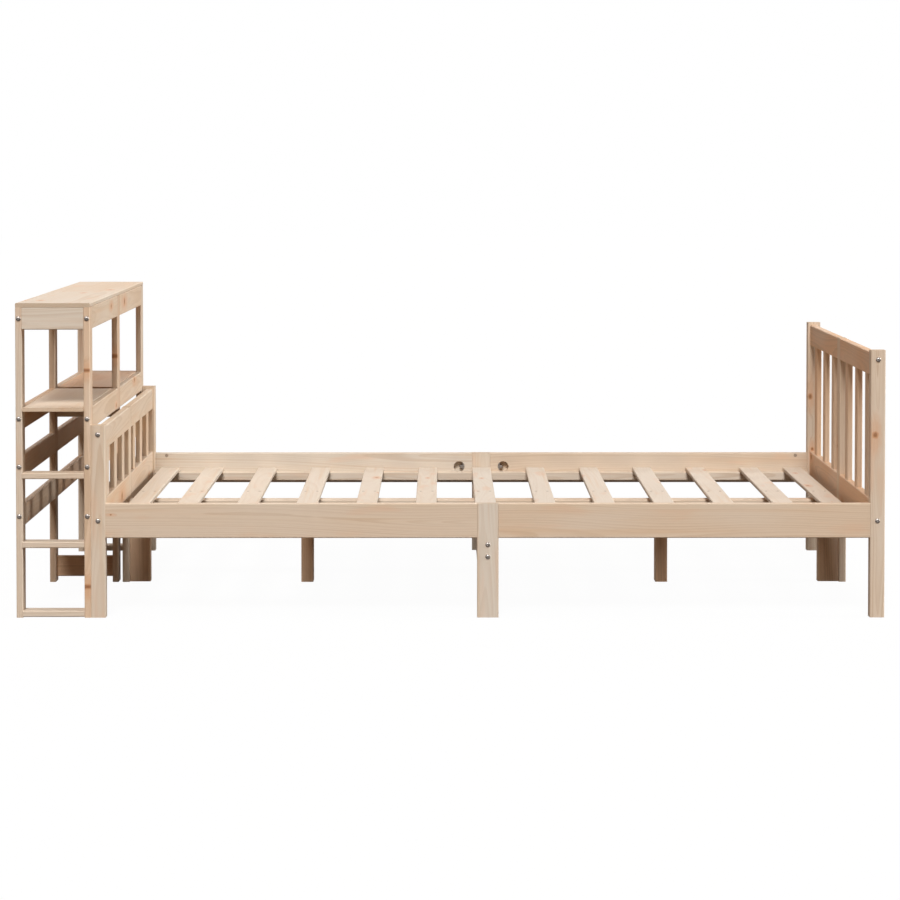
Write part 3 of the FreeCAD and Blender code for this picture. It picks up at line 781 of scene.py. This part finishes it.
def threadedRodShape(radius, length):  # from height 0 upwards
    pitch = threadedRod["pitch"]
    steps = threadedRod["stepsPerTurn"]
    turn = bmesh.new()
    verts = [turn.verts.new((radius - threadedRod["depth"] * abs(corner), 0.0, pitch * corner / 2))
             for corner in (-1, 0, 1)]
    edges = [turn.edges.new(pair) for pair in zip(verts, verts[1:])]
    bmesh.ops.spin(turn, geom=verts + edges, cent=(0, 0, 0), axis=(0, 0, 1), dvec=(0.0, 0.0, pitch / steps),
                   angle=2 * math.pi, steps=steps)
    turnData = bpy.data.meshes.new("turn")
    turn.to_mesh(turnData)
    turn.free()
    turns = math.ceil(length / pitch) + 3
    lifts = [Matrix.Translation((0.0, 0.0, pitch * (count - 2))) for count in range(turns)]
    mesh = stacked([(turnData, lift) for lift in lifts])
    bmesh.ops.remove_doubles(mesh, verts=mesh.verts, dist=1e-6)
    for height, away in ((0.0, -1.0), (length, 1.0)):
        everything = [*mesh.verts, *mesh.edges, *mesh.faces]
        bmesh.ops.bisect_plane(mesh, geom=everything, plane_co=(0.0, 0.0, height),
                               plane_no=(0.0, 0.0, away), clear_outer=True)
        bmesh.ops.remove_doubles(mesh, verts=mesh.verts, dist=1e-6)
        bmesh.ops.contextual_create(mesh, geom=rimAt(mesh, height))
    return finished(mesh)


def rodsOf(node):
    return [(threadedRodShape((high.y - low.y) / 2, high.x - low.x),
             pointing((low.x, (low.y + high.y) / 2, (low.z + high.z) / 2), (1.0, 0.0, 0.0)))
            for low, high in looseSolids(node)]


hexNut = {"boreRadius": 0.0041, "chamfer": 0.0009, "sides": 24}


def hexNutShape(cornerRadius, length):  # from height 0 upwards
    mesh = bmesh.new()
    flatRadius = cornerRadius * math.cos(math.pi / 6)
    bore = hexNut["boreRadius"]
    chamfer = hexNut["chamfer"]
    levels = [(bore, 0.0, hexNut["sides"]), (flatRadius, 0.0, hexNut["sides"]), (cornerRadius, chamfer, 6),
              (cornerRadius, length - chamfer, 6), (flatRadius, length, hexNut["sides"]),
              (bore, length, hexNut["sides"])]
    loops = []
    for radius, height, sides in levels:
        ring = bmesh.ops.create_circle(mesh, segments=sides, radius=radius,
                                       matrix=Matrix.Translation((0.0, 0.0, height)))
        edges = list({edge for vert in ring["verts"] for edge in vert.link_edges})
        if sides == 6:
            cut = bmesh.ops.subdivide_edges(mesh, edges=edges, cuts=hexNut["sides"] // 6 - 1)
            edges = list({edge for edge in edges if edge.is_valid}
                         | {item for item in cut["geom"] if isinstance(item, bmesh.types.BMEdge)})
        loops.append(edges)
    for before, after in zip(loops, loops[1:] + loops[:1]):
        bmesh.ops.bridge_loops(mesh, edges=before + after)
    return finished(mesh)


def nutsOf(node):
    return [(hexNutShape(max(high.y - low.y, high.z - low.z) / 2, high.x - low.x),
             pointing((low.x, (low.y + high.y) / 2, (low.z + high.z) / 2), (1.0, 0.0, 0.0)))
            for low, high in looseSolids(node)]


slatScrew = {
    "headRadius": 0.0036,
    "proud": 0.0005,
    "shank": [(0.0, -0.020), (0.0012, -0.017), (0.0016, -0.004)],  # radius and height, from the point up
    "spacing": 0.033,
    "crossReach": 0.0021,
    "crossDepth": 0.0011,
    "sides": 16,
}


def slatScrewShape():  # top of the slat at height 0, cross recess in the head
    radius = slatScrew["headRadius"]
    proud = slatScrew["proud"]
    reach = slatScrew["crossReach"]
    head = [(radius, -0.0004), (radius, proud * 0.5), (radius * 0.92, proud), (reach * 1.12, proud)]
    mesh = revolved(slatScrew["shank"] + head, slatScrew["sides"])
    rim = rimAt(mesh, proud)
    cross = bmesh.ops.extrude_edge_only(mesh, edges=rim)
    star = [item for item in cross["geom"] if isinstance(item, bmesh.types.BMVert)]
    for vert in star:
        quarter = abs(math.sin(2 * math.atan2(vert.co.y, vert.co.x)))
        shrink = 1.0 - 0.62 * min(1.0, quarter * 1.4)
        bmesh.ops.scale(mesh, vec=(shrink * 0.9, shrink * 0.9, 1.0), verts=[vert])
    sunk = bmesh.ops.extrude_edge_only(mesh, edges=rimAt(mesh, proud))
    floor = [item for item in sunk["geom"] if isinstance(item, bmesh.types.BMVert)]
    bmesh.ops.scale(mesh, vec=(0.6, 0.6, 1.0), verts=floor)
    bmesh.ops.translate(mesh, vec=(0.0, 0.0, -slatScrew["crossDepth"]), verts=floor)
    bmesh.ops.contextual_create(mesh, geom=rimAt(mesh, proud - slatScrew["crossDepth"]))
    return finished(mesh)


def slatScrews():
    shape = slatScrewShape()
    beamLow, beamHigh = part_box("centre_beam_low")
    beamMiddle = (beamLow.y + beamHigh.y) / 2
    places = []
    for node in ("bed_slats_low_half", "bed_slat_middle", "bed_slats_tall_half"):
        for low, high in looseSolids(node):
            slatMiddle = (low.x + high.x) / 2
            for aside in (-0.5, 0.5):
                spot = (slatMiddle + aside * slatScrew["spacing"], beamMiddle, high.z)
                places.append((shape, Matrix.Translation(spot)))
    return places


bedMiddle = sum(corner.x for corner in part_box("bed_slat_middle")) / 2

setUpStudio()
dressBoards()
steel = steelFinish("brightSteel")
darkSteel = steelFinish("darkSteel")
frame["nodes"]["mid_leg_washers"].material_slots[0].material = steel
addFittings("panelBolts", boltsOf("panel_bolts", "y", 0.0), "steel", steel, "panel_bolts")
addFittings("crossBeamBolts", boltsOf("cross_beam_bolts", "y", 0.0), "steel", steel, "cross_beam_bolts")
addFittings("bookcaseBolts", boltsOf("bookcase_bolts", "y", 0.0), "steel", steel, "bookcase_bolts")
addFittings("sideRailBolts", boltsOf("side_rail_bolts", "x", bedMiddle), "steel", steel, "side_rail_bolts")
addFittings("sideRailBarrelNuts", barrelNutsOf("side_rail_barrel_nuts"), "steel", darkSteel,
            "side_rail_barrel_nuts")
addFittings("midLegRods", rodsOf("mid_leg_rods"), "steel", steel, "mid_leg_rods")
addFittings("midLegNuts", nutsOf("mid_leg_nuts"), "steel", steel, "mid_leg_nuts")
addFittings("slatScrews", slatScrews(), "steel", darkSteel)
